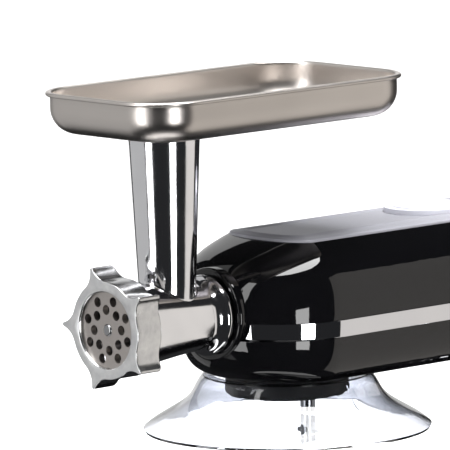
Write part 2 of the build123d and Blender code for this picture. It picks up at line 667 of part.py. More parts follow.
def base_outline(inset, z):
    """The base's plan: a round front under the bowl drawn out to the column's two corners."""
    corner_x = BASE_BACK_WIDTH / 2 - BASE_CORNER
    corner_d = BASE_BACK_D - BASE_CORNER
    run = corner_d - BOWL_D
    distance = (corner_x ** 2 + run ** 2) ** 0.5
    lean = degrees(atan2(run, corner_x) - acos((BASE_RADIUS - BASE_CORNER) / distance))
    front = BASE_RADIUS - inset
    corner = BASE_CORNER - inset
    with BuildSketch(table_plane(z)) as outline:
        with BuildLine():
            bow = CenterArc((0, BOWL_D), front, 180 - lean, 180 + 2 * lean)
            right = CenterArc((corner_x, corner_d), corner, lean, 90 - lean)
            left = CenterArc((-corner_x, corner_d), corner, 90, 90 - lean)
            Line(bow @ 1, right @ 0)
            Line(right @ 1, left @ 0)
            Line(left @ 1, bow @ 0)
        make_face()
    return outline.sketch


with BuildPart() as base_shell:
    extrude(base_outline(0, BASE_BOTTOM), amount=BASE_TOP - BASE_BOTTOM)
    fillet(base_shell.edges().group_by(Axis.Z)[-1], 9)
    extrude(base_outline(3, BASE_BOTTOM), amount=BASE_TOP - BASE_BOTTOM - 3, mode=Mode.SUBTRACT)
    with BuildSketch(table_plane(BASE_TOP - 6, 377)):
        RectangleRounded(84, 60, 12)
    extrude(amount=10, mode=Mode.SUBTRACT)
    with Locations(Location((0, NUT_Y + 418, 18), (90, 0, 0))):
        Cylinder(5.2, 14, mode=Mode.SUBTRACT)
save(base_shell.part, "base_shell")

BOARD_D = 290.0
BOARD_UNDERSIDE = 14.2
with BuildPart() as base_plate:
    extrude(base_outline(3.2, BASE_BOTTOM), amount=2.4)
    with Locations((0, NUT_Y + BOARD_D, BASE_BOTTOM)):
        with GridLocations(76, 56, 2, 2):         # posts of the control board
            Cylinder(3, BOARD_UNDERSIDE - BASE_BOTTOM, align=(Align.CENTER, Align.CENTER, Align.MIN))
save(base_plate.part, "base_plate")

with BuildPart() as column:
    with BuildSketch(table_plane(BASE_TOP, 375)):
        RectangleRounded(104, 76, 20)
    with BuildSketch(table_plane(COLUMN_TOP, HINGE_D)):
        RectangleRounded(84, 62, 20)
    loft()
    with Locations((0, NUT_Y + HINGE_D, (COLUMN_TOP + HINGE_Z) / 2)):
        Box(66, 2 * HINGE_RADIUS, HINGE_Z - COLUMN_TOP + 2)
    cross_rod(-33, 33, HINGE_RADIUS, HINGE_D, HINGE_Z)
    with BuildSketch(table_plane(BASE_TOP - 1, 375)):
        RectangleRounded(98, 70, 17)
    with BuildSketch(table_plane(COLUMN_TOP - 8, HINGE_D)):
        RectangleRounded(78, 56, 17)
    loft(mode=Mode.SUBTRACT)
    cross_rod(-40, 40, 6.0, HINGE_D, HINGE_Z, mode=Mode.SUBTRACT)
    cross_rod(30, 60, 5.0 + RUNNING, HINGE_D, 104, mode=Mode.SUBTRACT)
    cross_rod(30, 60, 3.0 + RUNNING, HINGE_D, 66, mode=Mode.SUBTRACT)
save(column.part, "column")

with BuildPart() as tilt_lever:
    cross_rod(34, 50, 5.0, HINGE_D, 104)
    cross_rod(47, 55, 10, HINGE_D, 104)
    block((48, 54), HINGE_D - 42, HINGE_D, 98 - AXIS_Z, 110 - AXIS_Z)
    fillet(tilt_lever.edges().filter_by(Axis.X).group_by(Axis.Y)[0], 5)
save(tilt_lever.part, "tilt_lever")

with BuildPart() as speed_knob:
    cross_rod(52.4, 68, 19, HINGE_D, 66)
    fillet(speed_knob.edges().group_by(Axis.X)[-1], 3)
    with Locations((69, NUT_Y + HINGE_D, 74)):
        Box(6, 3, 18, mode=Mode.SUBTRACT)
    cross_rod(36, 53, 3.0, HINGE_D, 66)
save(speed_knob.part, "speed_knob")

with BuildPart() as speed_switch:
    block((24, 35), HINGE_D - 14, HINGE_D + 14, 52 - AXIS_Z, 80 - AXIS_Z)
save(speed_switch.part, "speed_switch")

with BuildPart() as control_board:
    with Locations((0, NUT_Y + BOARD_D, BOARD_UNDERSIDE + 0.8)):
        Box(90, 70, 1.6)
    for x, length, height in ((-25, 18, 12), (0, 12, 10), (22, 22, 8)):
        with Locations((x, NUT_Y + BOARD_D, BOARD_UNDERSIDE + 1.6)):
            Box(14, length, height, align=(Align.CENTER, Align.CENTER, Align.MIN))
save(control_board.part, "control_board")

with BuildPart() as cord_gland:
    with Locations(Location((0, NUT_Y + 416.5, 18), (90, 0, 0))):
        Cylinder(5.1, 10.2)
    with Locations(Location((0, NUT_Y + (419.2 + REAR_D) / 2, 18), (90, 0, 0))):
        Cylinder(8, REAR_D - 419.2)
    with Locations(Location((0, NUT_Y + 416, 18), (90, 0, 0))):
        Cylinder(3.4, 30, mode=Mode.SUBTRACT)
save(cord_gland.part, "cord_gland")

with BuildPart() as bowl_seat:
    with BuildSketch(table_plane(BASE_TOP, BOWL_D)):
        Circle(56)
        Circle(46, mode=Mode.SUBTRACT)
        with PolarLocations(46, 3, start_angle=90):
            Rectangle(8, 20, mode=Mode.SUBTRACT)
    extrude(amount=5)
save(bowl_seat.part, "bowl_seat")

with BuildPart() as rubber_feet:
    for x, d in ((-62, 110), (62, 110), (-48, 385), (48, 385)):
        with Locations((x, NUT_Y + d, 0)):
            Cone(8, 9.5, BASE_BOTTOM, align=(Align.CENTER, Align.CENTER, Align.MIN))
save(rubber_feet.part, "rubber_feet")

with BuildPart() as base_screws:
    for x, d in ((-74, 150), (74, 150), (-52, 340), (52, 340)):
        with Locations((x, NUT_Y + d, 2.2)):
            Cylinder(3.4, 1.8, align=(Align.CENTER, Align.CENTER, Align.MIN))
save(base_screws.part, "base_screws")
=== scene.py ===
import bmesh
import bpy
import math
from mathutils import Matrix, Vector


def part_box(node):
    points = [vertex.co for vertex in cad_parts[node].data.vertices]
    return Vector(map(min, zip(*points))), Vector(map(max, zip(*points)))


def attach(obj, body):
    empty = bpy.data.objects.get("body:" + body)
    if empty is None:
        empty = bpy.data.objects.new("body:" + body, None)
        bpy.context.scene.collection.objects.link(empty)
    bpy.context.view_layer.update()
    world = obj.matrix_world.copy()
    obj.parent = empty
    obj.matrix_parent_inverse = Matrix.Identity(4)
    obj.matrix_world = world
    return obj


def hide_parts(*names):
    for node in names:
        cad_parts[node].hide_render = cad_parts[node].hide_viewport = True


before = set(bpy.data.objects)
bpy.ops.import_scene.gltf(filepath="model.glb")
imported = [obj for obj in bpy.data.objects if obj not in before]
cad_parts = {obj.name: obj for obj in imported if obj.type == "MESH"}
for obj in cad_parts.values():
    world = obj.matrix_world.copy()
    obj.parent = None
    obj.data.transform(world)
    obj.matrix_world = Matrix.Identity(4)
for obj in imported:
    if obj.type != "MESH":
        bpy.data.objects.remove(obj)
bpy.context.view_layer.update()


# ---- Rubber feet ----
# Four soft feet under the base plate, compression moulded in black nitrile rubber and held
# by a pip pushed through the plate. They are dull, with a faint bloom on the skin.
MM = 0.001


def linear(code):
    """A colour written as sRGB hex, turned to the linear values a shader takes."""
    parts = [int(code[i:i + 2], 16) / 255 for i in (1, 3, 5)]
    return tuple(c / 12.92 if c <= 0.04045 else ((c + 0.055) / 1.055) ** 2.4 for c in parts) + (1.0,)


def add(tree, kind, settings=(), links=()):
    """Adds one shader node, with its settings by name and its links by socket."""
    made = tree.nodes.new("ShaderNode" + kind)
    for key, value in dict(settings).items():
        if isinstance(key, str) and hasattr(made, key):
            setattr(made, key, value)
        else:
            made.inputs[key].default_value = value
    for socket, source in dict(links).items():
        tree.links.new(source, made.inputs[socket])
    return made


def start_material(name, shade, metallic, roughness, ior=1.5):
    """A new material with its shader, and the piece's own coordinates in metres."""
    material = bpy.data.materials.new(name)
    material.use_nodes = True
    tree = material.node_tree
    shader = tree.nodes["Principled BSDF"]
    shader.inputs["Base Color"].default_value = linear(shade)
    shader.inputs["Metallic"].default_value = metallic
    shader.inputs["Roughness"].default_value = roughness
    if metallic < 0.5:
        shader.inputs["IOR"].default_value = ior
    place = add(tree, "TexCoord").outputs["Object"]
    return material, tree, shader, place


def uneven(tree, shader, place, patch_mm, shade, tint, rough_from, rough_to):
    """Slow changes of shade and of roughness over the surface, as handling and moulding leave."""
    patches = add(tree, "TexNoise", {"Scale": 1 / (patch_mm * MM), "Detail": 1.0}, {"Vector": place})
    shades = add(tree, "Mix", {"data_type": "RGBA", 6: linear(shade), 7: linear(tint)},
                 {0: patches.outputs["Fac"]})
    rough = add(tree, "MapRange",
                {"From Min": 0.2, "From Max": 0.8, "To Min": rough_from, "To Max": rough_to},
                {"Value": patches.outputs["Fac"]})
    tree.links.new(shades.outputs[2], shader.inputs["Base Color"])
    tree.links.new(rough.outputs["Result"], shader.inputs["Roughness"])


def relief(tree, shader, height, depth_mm):
    """Fine relief from a pattern, with its depth in millimetres."""
    bump = add(tree, "Bump", {"Strength": 1.0, "Distance": depth_mm * MM}, {"Height": height})
    tree.links.new(bump.outputs["Normal"], shader.inputs["Normal"])


def dress(material, *nodes):
    """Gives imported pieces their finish."""
    for node in nodes:
        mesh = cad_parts[node].data
        mesh.materials.clear()
        mesh.materials.append(material)


def moulded_plastic(name, shade, tint, roughness, grain_mm, grain_depth_mm):
    """Injection moulded plastic: one colour, with the tool's grain as relief."""
    material, tree, shader, place = start_material(name, shade, 0.0, roughness)
    uneven(tree, shader, place, 30, shade, tint, roughness * 0.85, roughness * 1.2)
    grain = add(tree, "TexNoise", {"Scale": 1 / (grain_mm * MM), "Detail": 2.0}, {"Vector": place})
    relief(tree, shader, grain.outputs["Fac"], grain_depth_mm)
    return material


# Nitrile rubber: nearly black, dry to the eye, with a slight grey bloom.
nitrile_rubber = moulded_plastic("nitrile_rubber", "#161616", "#242424", 0.8, 0.9, 0.05)
dress(nitrile_rubber, "rubber_feet")


# ---- Base plate and screws ----
# A ribbed tray moulded in black ABS that closes the base from below. Zinc plated steel
# screws go up through it into the base shell, and it holds the posts of the control board.
# Spark-textured ABS: dull black with a fine even grain, about 0.6 mm from bump to bump.
textured_abs = moulded_plastic("textured_abs", "#1B1B1C", "#232324", 0.55, 0.6, 0.04)
dress(textured_abs, "base_plate", "speed_switch", "bowl_seat", "cord_gland", "hub_lock_button",
      "brush_holders", "planet_carrier")


def worked_metal(name, shade, tint, roughness, mark_mm, mark_depth_mm, stretch=(1, 1, 1), patch_mm=12):
    """Bare metal with the fine lines that its tool left; stretch draws them out along an axis."""
    material, tree, shader, place = start_material(name, shade, 1.0, roughness)
    uneven(tree, shader, place, patch_mm, shade, tint, roughness * 0.8, roughness * 1.3)
    drawn = add(tree, "Mapping", {"Scale": stretch}, {"Vector": place})
    marks = add(tree, "TexNoise", {"Scale": 1 / (mark_mm * MM), "Detail": 3.0},
                {"Vector": drawn.outputs["Vector"]})
    relief(tree, shader, marks.outputs["Fac"], mark_depth_mm)
    return material


# Zinc plating over rolled steel: cool bright grey with a soft sheen.
zinc_plated_steel = worked_metal("zinc_plated_steel", "#B4B7BB", "#9DA0A6", 0.3, 0.8, 0.01)
dress(zinc_plated_steel, "base_screws", "plate_locating_pin")


# ---- Base shell ----
# The cover of the base, injection moulded in black ABS in a polished tool and clipped
# over the plate. The same plastic makes the column, and both shells of the head.
# Polished ABS: deep black, mirror gloss, with the faint waviness of a moulded skin.
gloss_black_abs, tree, shader, place = start_material("gloss_black_abs", "#060607", 0.0, 0.05)
uneven(tree, shader, place, 45, "#050506", "#08080A", 0.025, 0.05)
skin_wave = add(tree, "TexNoise", {"Scale": 1 / (14 * MM), "Detail": 1.0}, {"Vector": place})
relief(tree, shader, skin_wave.outputs["Fac"], 0.012)
dress(gloss_black_abs, "base_shell", "column", "head_upper_shell", "head_lower_shell")


# ---- Speed control ----
# A rotary switch and its board sit inside the base, and a chrome plated ABS knob is pushed
# on the switch's shaft. Its rim is scalloped for grip, and a pale pointer shows the step.
def skin(name, rings, material, body, slot, *replaced, sharp=35):
    """A piece made as a skin over rings of points; the last ring may close on the first."""
    count = len(rings[0])
    mesh = bpy.data.meshes.new(name)
    faces = [(i * count + j, i * count + (j + 1) % count,
              (i + 1) * count + (j + 1) % count, (i + 1) * count + j)
             for i in range(len(rings) - 1) for j in range(count)]
    mesh.from_pydata([tuple(p) for ring in rings for p in ring], [], faces)
    work = bmesh.new()
    work.from_mesh(mesh)
    bmesh.ops.remove_doubles(work, verts=work.verts, dist=0.004 * MM)
    bmesh.ops.dissolve_degenerate(work, edges=work.edges, dist=0.001 * MM)
    bmesh.ops.recalc_face_normals(work, faces=work.faces)
    work.to_mesh(mesh)
    work.free()
    mesh.shade_smooth()
    mesh.set_sharp_from_angle(angle=math.radians(sharp))
    mesh.materials.append(material)
    piece = bpy.data.objects.new(name, mesh)
    bpy.context.scene.collection.objects.link(piece)
    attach(piece, body)
    if replaced:
        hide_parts(*replaced)


def turned(centre, axis, profile, steps, reach=None):
    """Rings of a turned piece: profile gives (distance along the axis, radius) in millimetres."""
    axis = Vector(axis).normalized()
    across = axis.orthogonal().normalized()
    other = axis.cross(across)
    rings = []
    for along, radius in profile:
        ring = []
        for k in range(steps):
            turn = 2 * math.pi * k / steps
            wide = radius * (reach(turn, along, radius) if reach else 1.0)
            out = across * math.cos(turn) + other * math.sin(turn)
            ring.append(centre + (axis * along + out * wide) * MM)
        rings.append(ring)
    return rings


# Chrome plated ABS: a bright mirror, faintly cool, with hardly any blur.
chrome_plate = worked_metal("chrome_plate", "#DEDEE1", "#D6D7DB", 0.035, 9, 0.003, patch_mm=40)
knob_low, knob_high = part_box("speed_knob")
knob_centre = Vector((knob_low.x, (knob_low.y + knob_high.y) / 2, (knob_low.z + knob_high.z) / 2))
knob_length = (knob_high.x - knob_low.x) / MM
knob_radius = (knob_high.z - knob_low.z) / 2 / MM
SCALLOPS = 18
SCALLOP_DEPTH = 0.022    # as a share of the radius


def scalloped(turn, along, radius):
    """Grip hollows round the rim, deepest at its middle."""
    if radius < knob_radius * 0.9:
        return 1.0
    hollow = 0.5 - 0.5 * math.cos(SCALLOPS * turn)
    return 1.0 - SCALLOP_DEPTH * hollow * math.sin(math.pi * min(1, along / knob_length))


knob_profile = [(0, 0), (0, knob_radius - 1.5), (0.6, knob_radius - 0.4), (1.5, knob_radius),
                (5, knob_radius), (9, knob_radius), (knob_length - 3, knob_radius * 0.985),
                (knob_length - 1.4, knob_radius * 0.96), (knob_length - 0.4, knob_radius * 0.91),
                (knob_length, knob_radius * 0.84), (knob_length - 0.5, knob_radius * 0.78),
                (knob_length - 1.6, knob_radius * 0.7), (knob_length - 2.2, knob_radius * 0.4),
                (knob_length - 2.4, 0)]
skin("speed_knob_grip", turned(knob_centre, (1, 0, 0), knob_profile, 216, scalloped), chrome_plate, "knob",
     "chrome", "speed_knob")
pointer = []
for along, half in ((-2.6, 0.5), (-1.9, 1.1), (-1.5, 0.8)):
    pointer.append([Vector((knob_high.x + along * MM, knob_centre.y + dy * MM, knob_centre.z + dz * MM))
                    for dy, dz in ((-half, 3), (half, 3), (half, 12), (-half, 12))])
pointer.append([pointer[-1][0] * 0.5 + pointer[-1][2] * 0.5] * 4)
# Pale polypropylene insert: a soft off-white that stays matte.
pale_insert = moulded_plastic("pale_insert", "#D8D5CE", "#CBC8C0", 0.4, 0.5, 0.02)
skin("speed_knob_pointer", pointer, pale_insert, "knob", "pale_plastic")
# Glass-filled epoxy board under green lacquer: a slight gloss over mottled green.
lacquered_board = moulded_plastic("lacquered_board", "#14532C", "#0E4424", 0.25, 1.6, 0.02)
dress(lacquered_board, "control_board")


# ---- Tilt lever ----
# A die-cast lever on the right side of the column, chrome plated. It turns the shaft that
# draws the latch of the head. A small torsion spring inside brings it back.
dress(chrome_plate, "tilt_lever", "hinge_caps")


# ---- Column and hinge ----
# The column rises from the base shell and carries a turned steel pin. The ears of the
# head's die-cast bracket hang on that pin, which chrome caps hide at both ends.
# Ground steel bar: a bright grey with fine turned lines round it.
turned_steel = worked_metal("turned_steel", "#A7A8AA", "#939496", 0.22, 0.5, 0.012, (1, 6, 1))
dress(turned_steel, "hinge_pin", "hub_socket", "hub_bearing", "rear_bearing", "hub_output_shaft",
      "main_shaft", "counter_shaft", "motor_shaft", "drive_spindle", "beater_shaft", "auger_front_stud",
      "auger_drive_tang")
# Pressure die-cast zinc alloy: mid grey, slightly mottled, with a fine cast grain.
die_cast_alloy = worked_metal("die_cast_alloy", "#8F9092", "#7D7E81", 0.42, 1.8, 0.05)
dress(die_cast_alloy, "hinge_bracket", "gearbox_case", "gearbox_lid", "motor_end_bracket")


# ---- Motor ----
# A series motor in the middle of the head: a stack of stamped steel sheets with enamelled
# copper coils, an armature with its commutator, carbon brushes and a moulded fan.
WAVE_PER_LENGTH = 0.314  # a wave pattern of this scale repeats once in each unit of length


def layered(name, shade, gap_shade, metallic, roughness, layer_mm, depth_mm, direction):
    """A stack of sheets or a layer of wire: fine stripes with a dark line between them."""
    material, tree, shader, place = start_material(name, shade, metallic, roughness)
    wave_scale = WAVE_PER_LENGTH / (layer_mm * MM)
    stripes = add(tree, "TexWave", {"bands_direction": direction, "Scale": wave_scale, "Distortion": 0.2},
                  {"Vector": place})
    shades = add(tree, "Mix", {"data_type": "RGBA", 6: linear(gap_shade), 7: linear(shade)},
                 {0: stripes.outputs["Fac"]})
    tree.links.new(shades.outputs[2], shader.inputs["Base Color"])
    relief(tree, shader, stripes.outputs["Fac"], depth_mm)
    return material


# Silicon steel sheets 0.5 mm thick, drawn at 1 mm so that the stack shows: blue-grey, striped.
stamped_sheets = layered("stamped_sheets", "#5C5E63", "#2B2C2F", 1.0, 0.45, 1.0, 0.1, "Y")
dress(stamped_sheets, "motor_stator", "motor_armature")
# Enamelled copper wire 0.6 mm thick, drawn at 0.9 mm: warm orange-brown with a wet gloss.
enamelled_copper = layered("enamelled_copper", "#B5652F", "#5E2C12", 1.0, 0.25, 0.9, 0.15, "Z")
dress(enamelled_copper, "field_coils")
# Commutator bars of drawn copper, dulled by the brushes.
commutator_copper = layered("commutator_copper", "#B87444", "#4A2A18", 1.0, 0.3, 2.4, 0.1, "DIAGONAL")
dress(commutator_copper, "commutator")
# Pressed carbon: soot black and quite dull.
brush_carbon = moulded_plastic("brush_carbon", "#1D1D1E", "#28282A", 0.6, 0.4, 0.03)
dress(brush_carbon, "carbon_brushes")


# ---- Gear train ----
# Nylon gears on steel shafts step the motor down, and hardened steel bevel gears turn the
# drive to the front hub and to the planetary drive. All run in a film of clear grease.
# Machined nylon: milky off-white with a waxy sheen.
milky_nylon = moulded_plastic("milky_nylon", "#E2DDCF", "#D6D0C0", 0.4, 2.0, 0.02)
dress(milky_nylon, "main_gear", "counter_gear", "cooling_fan", "ring_gear", "thrust_washer")
# Case-hardened gear steel under grease: dark grey with soft broad highlights.
greased_gear_steel = worked_metal("greased_gear_steel", "#77787A", "#5F5F60", 0.28, 1.2, 0.02)
dress(greased_gear_steel, "hub_bevel_gear", "drive_bevel_gear", "motor_pinion", "crown_wheel", "planet_gear")


# ---- Head trim ----
# A chrome plated ABS strip, just under 12 mm high, clipped into the joint of the two head
# shells all the way round. Its two edges are rounded over, so that they are not sharp.
band_low, band_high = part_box("chrome_band")
BAND_EDGE = 0.75         # rounding of the strip's edges, in millimetres
BAND_WALL = 3.0          # how deep the strip reaches into the joint
BAND_STEP = 0.7          # where the strip narrows behind its face
BAND_INSET = 0.2         # how much lower it is there, at each edge
EDGE_STEPS = 6
NOSE_DEPTH = 61.5        # from the front of the head to where its sides run straight
TAIL_DEPTH = 50.5
SHELL_STEPS = 72
SIDE_STEPS = 12


def head_outline(grow):
    """The head's outline seen from above, in millimetres from its own middle, grown outwards."""
    half = (band_high.x - band_low.x) / 2 / MM + grow
    nose_centre = band_low.y / MM + NOSE_DEPTH
    tail_centre = band_high.y / MM - TAIL_DEPTH
    points = []
    for k in range(SHELL_STEPS + 1):                  # round the nose, from +X to -X
        turn = -math.pi * k / SHELL_STEPS
        points.append((half * math.cos(turn), nose_centre + (NOSE_DEPTH + grow) * math.sin(turn)))
    for k in range(1, SIDE_STEPS):
        points.append((-half, nose_centre + (tail_centre - nose_centre) * k / SIDE_STEPS))
    for k in range(SHELL_STEPS + 1):                  # round the tail, from -X to +X
        turn = math.pi - math.pi * k / SHELL_STEPS
        points.append((half * math.cos(turn), tail_centre + (TAIL_DEPTH + grow) * math.sin(turn)))
    for k in range(1, SIDE_STEPS):
        points.append((half, tail_centre + (nose_centre - tail_centre) * k / SIDE_STEPS))
    return points


def band_ring(grow, height):
    """One line of the strip's section, carried round the head."""
    return [Vector((x * MM, y * MM, height)) for x, y in head_outline(grow)]


band_foot, band_top = band_low.z + BAND_INSET * MM, band_high.z - BAND_INSET * MM
band_section = [(-BAND_WALL, band_foot), (-BAND_STEP, band_foot)]
for k in range(EDGE_STEPS + 1):
    turn = math.pi / 2 * k / EDGE_STEPS
    band_section.append((-BAND_EDGE * (1 - math.sin(turn)),
                         band_low.z + BAND_EDGE * (1 - math.cos(turn)) * MM))
for k in range(EDGE_STEPS + 1):
    turn = math.pi / 2 * k / EDGE_STEPS
    band_section.append((-BAND_EDGE * (1 - math.cos(turn)),
                         band_high.z - BAND_EDGE * (1 - math.sin(turn)) * MM))
band_section += [(-BAND_STEP, band_top), (-BAND_WALL, band_top), band_section[0]]
skin("head_chrome_strip", [band_ring(grow, height) for grow, height in band_section], chrome_plate, "head",
     "chrome", "chrome_band")


# ---- Top cover ----
# The silver panel on top of the head: ABS sprayed with a satin metallic paint and clipped
# into the upper shell. A pale cap closes the outlet for other attachments behind it.
# Satin metallic paint: even silver-grey, with a fine flake that only shows up close.
silver_paint, tree, shader, place = start_material("silver_paint", "#94949B", 0.5, 0.55)
flakes = add(tree, "TexVoronoi", {"Scale": 1 / (0.35 * MM)}, {"Vector": place})
flake_shades = add(tree, "Mix", {"data_type": "RGBA", 6: linear("#8F8F96"), 7: linear("#9C9CA4")},
                   {0: flakes.outputs["Color"]})
tree.links.new(flake_shades.outputs[2], shader.inputs["Base Color"])
shader.inputs["Coat Weight"].default_value = 0.1
shader.inputs["Coat Roughness"].default_value = 0.3
relief(tree, shader, flakes.outputs["Distance"], 0.004)
dress(silver_paint, "top_cover")
# Moulded polypropylene cap: a pale, slightly cool grey with a soft sheen.
pale_cap = moulded_plastic("pale_cap", "#CFCFD8", "#C5C5CF", 0.42, 0.6, 0.02)
dress(pale_cap, "blender_outlet_cap")


# ---- Front hub ----
# A black ABS collar with rounded shoulders is screwed over the steel socket that takes an
# attachment's spigot. The polished flange of the grinder butts against it.
collar_low, collar_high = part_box("hub_collar")
collar_centre = Vector(((collar_low.x + collar_high.x) / 2, collar_low.y,
                        (collar_low.z + collar_high.z) / 2))
collar_radius = (collar_high.x - collar_low.x) / 2 / MM
collar_length = (collar_high.y - collar_low.y) / MM
COLLAR_BORE = 22.7
COLLAR_ROUND = 2.4       # radius of its shoulder
collar_profile = [(collar_length, COLLAR_BORE), (1.2, COLLAR_BORE), (0.35, COLLAR_BORE + 0.3),
                  (0, COLLAR_BORE + 1.1)]
for k in range(9):
    turn = math.pi / 2 * k / 8
    collar_profile.append((COLLAR_ROUND * (1 - math.cos(turn)),
                           collar_radius - COLLAR_ROUND * (1 - math.sin(turn))))
collar_profile += [(collar_length, collar_radius), (collar_length, COLLAR_BORE)]
skin("front_hub_collar", turned(collar_centre, (0, 1, 0), collar_profile, 128), gloss_black_abs, "head",
     "gloss_black", "hub_collar")


# ---- Splash guard ----
# A clear bell under the head that keeps food in the bowl, injection moulded in
# polycarbonate and snapped round the planetary drive.
# Clear polycarbonate: water-clear with a cool edge and a hard gloss.
clear_polycarbonate, tree, shader, place = start_material("clear_polycarbonate", "#DDE0E8", 0.0, 0.04, 1.58)
shader.inputs["Transmission Weight"].default_value = 1.0
flow = add(tree, "TexNoise", {"Scale": 1 / (25 * MM), "Detail": 1.0}, {"Vector": place})
relief(tree, shader, flow.outputs["Fac"], 0.02)
dress(clear_polycarbonate, "splash_guard")
# Left out of reflections: the white room seen through it would draw a band under the barrel.
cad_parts["splash_guard"].visible_glossy = False


# ---- Grinder body ----
# One aluminium casting makes the feed neck, the barrel, the thread for the ring nut and the
# spigot. The outside is buffed to a mirror, so only faint ripples of the casting are left.
# Buffed aluminium: a cool bright mirror, with slow waves and a few duller clouds.
buffed_casting, tree, shader, place = start_material("buffed_casting", "#E6E6E8", 1.0, 0.06)
uneven(tree, shader, place, 22, "#EAEAEC", "#DFDFE2", 0.07, 0.15)
ripples = add(tree, "TexNoise", {"Scale": 1 / (11 * MM), "Detail": 2.0}, {"Vector": place})
relief(tree, shader, ripples.outputs["Fac"], 0.03)
dress(buffed_casting, "grinder_housing")


# ---- Auger and knife ----
# The cast auger pushes the meat along the barrel. A ground four-winged knife sits on the
# square of its steel stud and turns against the back of the plate.
# Tumbled casting: pale grey, softly matte with a fine pebbled skin.
tumbled_casting = worked_metal("tumbled_casting", "#C4C4C6", "#B0B0B3", 0.32, 1.2, 0.04)
dress(tumbled_casting, "auger")
# Ground blade steel: bright, with fine parallel grinding lines.
ground_blade_steel = worked_metal("ground_blade_steel", "#C9C8C5", "#B7B6B3", 0.2, 0.4, 0.015, (1, 1, 8))
dress(ground_blade_steel, "cutting_knife")


# ---- Hole plate ----
# A steel disc, 54 mm across, drilled with two rings of holes and ground flat on both faces.
# A notch at its foot sits over a pin in the barrel, so it can't turn.
# Ground tool steel: warm mid grey with a very fine, sandy grain.
ground_plate_steel = worked_metal("ground_plate_steel", "#BDB7B3", "#ABA5A1", 0.36, 0.5, 0.03)
dress(ground_plate_steel, "hole_plate")


# ---- Ring nut ----
# A cast aluminium nut that holds the plate on the barrel. Five pointed lugs with hollow
# flanks give grip; the face is left satin from tumbling and the sides are buffed.
nut_low, nut_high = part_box("ring_nut")
plate_low, plate_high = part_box("hole_plate")
axis_height = (plate_low.z + plate_high.z) / 2
nut_front = Vector(((plate_low.x + plate_high.x) / 2, nut_low.y, axis_height))
nut_length = (nut_high.y - nut_low.y) / MM
NUT_RADIUS = 32.3
NUT_OPENING = 25.0
LUG_TIP = 41.9
LUG_END = 20.0
LUG_ROUND = 3.5          # rounding of the lugs at the back
LUG_FOOT = 10.5          # half the width of a lug where it leaves the ring
TIP_HALF = 1.35          # half the width of its blunt tip
TIP_ROUND = 0.8
THREAD_WALL = 2.4        # the ring's wall over its thread
LUG_PITCH = 72
LUG_ANGLES = [107.5 + LUG_PITCH * k for k in range(5)]
FACE_EDGE = 0.7          # rounding between the face and the sides
SEAT_DEPTH = 2.55        # where the lip meets the plate, just clear of it


def arc_through(a, b, c, steps):
    """Points along the arc from a through b to c, all flat."""
    d = 2 * (a[0] * (b[1] - c[1]) + b[0] * (c[1] - a[1]) + c[0] * (a[1] - b[1]))
    squares = [p[0] ** 2 + p[1] ** 2 for p in (a, b, c)]
    ux = (squares[0] * (b[1] - c[1]) + squares[1] * (c[1] - a[1]) + squares[2] * (a[1] - b[1])) / d
    uy = (squares[0] * (c[0] - b[0]) + squares[1] * (a[0] - c[0]) + squares[2] * (b[0] - a[0])) / d
    radius = math.hypot(a[0] - ux, a[1] - uy)
    angles = [math.atan2(p[1] - uy, p[0] - ux) for p in (a, b, c)]
    sweep = (angles[2] - angles[0] + math.pi) % (2 * math.pi) - math.pi
    return [(ux + radius * math.cos(angles[0] + sweep * k / steps),
             uy + radius * math.sin(angles[0] + sweep * k / steps)) for k in range(steps + 1)]


foot_angle = math.degrees(math.asin(LUG_FOOT / NUT_RADIUS))
flank_foot = (NUT_RADIUS * math.cos(math.radians(foot_angle)), -LUG_FOOT)
flank = arc_through(flank_foot, (35.5, -3.9), (LUG_TIP - TIP_ROUND, -TIP_HALF), 14)
tip = arc_through((LUG_TIP - TIP_ROUND, -TIP_HALF), (LUG_TIP, 0.0), (LUG_TIP - TIP_ROUND, TIP_HALF), 8)
lug_outline = flank + tip[1:-1] + [(x, -y) for x, y in reversed(flank)]
nut_outline, body_outline = [], []
for lug_angle in LUG_ANGLES:
    swing = math.radians(lug_angle)
    for k, (x, y) in enumerate(lug_outline):
        nut_outline.append((x * math.cos(swing) - y * math.sin(swing),
                            x * math.sin(swing) + y * math.cos(swing)))
        share = math.radians(lug_angle - foot_angle + 2 * foot_angle * k / (len(lug_outline) - 1))
        body_outline.append((NUT_RADIUS * math.cos(share), NUT_RADIUS * math.sin(share)))
    for k in range(1, 14):
        share = math.radians(lug_angle + foot_angle + (LUG_PITCH - 2 * foot_angle) * k / 14)
        nut_outline.append((NUT_RADIUS * math.cos(share), NUT_RADIUS * math.sin(share)))
        body_outline.append(nut_outline[-1])


def drawn_in(outline, amount):
    """The outline moved inwards, square to itself."""
    count = len(outline)
    moved = []
    for k, (x, y) in enumerate(outline):
        ax, ay = outline[k - 1]
        bx, by = outline[(k + 1) % count]
        length = math.hypot(bx - ax, by - ay)
        moved.append((x - (by - ay) / length * amount, y + (bx - ax) / length * amount))
    return moved


def nut_ring(outline, depth):
    """An outline placed square to the barrel, a depth behind the nut's face."""
    return [nut_front + Vector((x, depth, z)) * MM for x, z in outline]


def circle_like(radius):
    """A circle with a point for each point of the nut's outline."""
    return [(radius * x / math.hypot(x, z), radius * z / math.hypot(x, z)) for x, z in body_outline]


def blend_outlines(inner, outer, share):
    """An outline part of the way from one to the other."""
    return [(a[0] + (b[0] - a[0]) * share, a[1] + (b[1] - a[1]) * share) for a, b in zip(inner, outer)]


